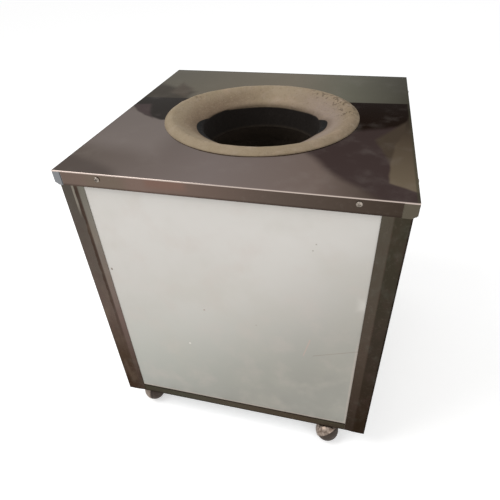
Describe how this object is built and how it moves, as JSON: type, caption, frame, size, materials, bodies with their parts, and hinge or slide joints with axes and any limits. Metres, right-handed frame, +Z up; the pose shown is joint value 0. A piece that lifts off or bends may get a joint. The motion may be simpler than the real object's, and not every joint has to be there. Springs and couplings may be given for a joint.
{
  "type": "electric tandoor",
  "caption": "Square floor-standing electric clay oven: round clay mouth in a folded steel cover, sheet-panelled cabinet, heating element, rear controls and swivelling ball castors.",
  "frame": {"origin": "on the floor under the middle of the cabinet's plan", "axes": "+Z up, -Y to the plain front panel, +X to the right as seen from the front"},
  "size_m": [0.616, 0.6317, 0.7039],
  "materials": {
    "polished_stainless": "polished",
    "painted_panel": "satin",
    "zinc_plated": "satin",
    "galvanised_sheet": "satin",
    "black_frame_paint": "satin",
    "fired_clay": "matte",
    "mineral_wool": "matte",
    "insulation_board": "matte",
    "element_sheath": "matte",
    "white_porcelain": "gloss",
    "castor_nickel": "polished",
    "castor_wheel_rubber": "matte",
    "black_bakelite": "satin",
    "red_lens": "gloss",
    "amber_lens": "gloss",
    "brass_stud": "satin"
  },
  "bodies": {
    "cabinet": {"angle_frame": "black_frame_paint", "base_pan": "galvanised_sheet", "bottom_rail_front": "polished_stainless", "bottom_rail_left": "polished_stainless", "bottom_rail_rear": "polished_stainless", "bottom_rail_right": "polished_stainless", "cable_gland": "black_bakelite", "castor_bolts": "zinc_plated", "castor_plate_front_left": "castor_nickel", "castor_plate_front_right": "castor_nickel", "castor_plate_rear_left": "castor_nickel", "castor_plate_rear_right": "castor_nickel", "clay_pot_foot": "fired_clay", "clay_pot_neck": "fired_clay", "control_box": "galvanised_sheet", "control_plate": "polished_stainless", "corner_trim_front_left": "polished_stainless", "corner_trim_front_right": "polished_stainless", "corner_trim_rear_left": "polished_stainless", "corner_trim_rear_right": "polished_stainless", "cover_board": "insulation_board", "cover_screws": "zinc_plated", "drum_floor": "galvanised_sheet", "drum_shell": "galvanised_sheet", "earth_stud": "brass_stud", "element_bushes": "white_porcelain", "element_clips": "zinc_plated", "floor_board": "insulation_board", "front_panel": "painted_panel", "hearth": "fired_clay", "heating_element": "element_sheath", "left_panel": "painted_panel", "mouth_collar": "fired_clay", "pilot_lamp_heat": "amber_lens", "pilot_lamp_power": "red_lens", "plate_screws": "zinc_plated", "rear_panel": "painted_panel", "right_panel": "painted_panel", "switch_housing": "black_bakelite", "terminal_block": "white_porcelain", "thermostat": "black_bakelite", "thermostat_capillary": "zinc_plated", "top_cover": "polished_stainless", "top_ring": "black_frame_paint", "wool_fill": "mineral_wool"},
    "castor_swivel_front_left": {"castor_hood_front_left": "castor_nickel", "castor_axle_front_left": "castor_nickel"},
    "castor_roll_front_left": {"castor_wheel_front_left": "castor_wheel_rubber"},
    "castor_swivel_front_right": {"castor_hood_front_right": "castor_nickel", "castor_axle_front_right": "castor_nickel"},
    "castor_roll_front_right": {"castor_wheel_front_right": "castor_wheel_rubber"},
    "castor_swivel_rear_right": {"castor_hood_rear_right": "castor_nickel", "castor_axle_rear_right": "castor_nickel"},
    "castor_roll_rear_right": {"castor_wheel_rear_right": "castor_wheel_rubber"},
    "castor_swivel_rear_left": {"castor_hood_rear_left": "castor_nickel", "castor_axle_rear_left": "castor_nickel"},
    "castor_roll_rear_left": {"castor_wheel_rear_left": "castor_wheel_rubber"},
    "knob": {"thermostat_knob": "black_bakelite", "thermostat_spindle": "zinc_plated"},
    "rocker": {"switch_rocker": "black_bakelite"}
  },
  "joints": [
    {"name": "swivel_front_left", "type": "hinge", "parent": "cabinet", "child": "castor_swivel_front_left", "pos_m": [-0.227, -0.27, 0.047], "axis": [0, 0, 1], "continuous": true},
    {"name": "roll_front_left", "type": "hinge", "parent": "castor_swivel_front_left", "child": "castor_roll_front_left", "pos_m": [-0.24699, -0.2707, 0.0265], "axis": [-0.0247, 0.7067, 0.7071], "continuous": true},
    {"name": "swivel_front_right", "type": "hinge", "parent": "cabinet", "child": "castor_swivel_front_right", "pos_m": [0.227, -0.27, 0.047], "axis": [0, 0, 1], "continuous": true},
    {"name": "roll_front_right", "type": "hinge", "parent": "castor_swivel_front_right", "child": "castor_roll_front_right", "pos_m": [0.21553, -0.28638, 0.0265], "axis": [-0.5792, 0.4056, 0.7071], "continuous": true},
    {"name": "swivel_rear_right", "type": "hinge", "parent": "cabinet", "child": "castor_swivel_rear_right", "pos_m": [0.227, 0.27, 0.047], "axis": [0, 0, 1], "continuous": true},
    {"name": "roll_rear_right", "type": "hinge", "parent": "castor_swivel_rear_right", "child": "castor_roll_rear_right", "pos_m": [0.22016, 0.28879, 0.0265], "axis": [0.6645, 0.2418, 0.7071], "continuous": true},
    {"name": "swivel_rear_left", "type": "hinge", "parent": "cabinet", "child": "castor_swivel_rear_left", "pos_m": [-0.227, 0.27, 0.047], "axis": [0, 0, 1], "continuous": true},
    {"name": "roll_rear_left", "type": "hinge", "parent": "castor_swivel_rear_left", "child": "castor_roll_rear_left", "pos_m": [-0.20968, 0.26, 0.0265], "axis": [-0.3536, -0.6124, 0.7071], "continuous": true},
    {"name": "knob_turn", "type": "hinge", "parent": "cabinet", "child": "knob", "pos_m": [0.198, 0.299, 0.545], "axis": [0, 1, 0], "range_deg": [0, 270]},
    {"name": "rocker_tilt", "type": "hinge", "parent": "cabinet", "child": "rocker", "pos_m": [0.198, 0.299, 0.448], "axis": [0, 0, -1], "range_deg": [0, 16]}
  ]
}
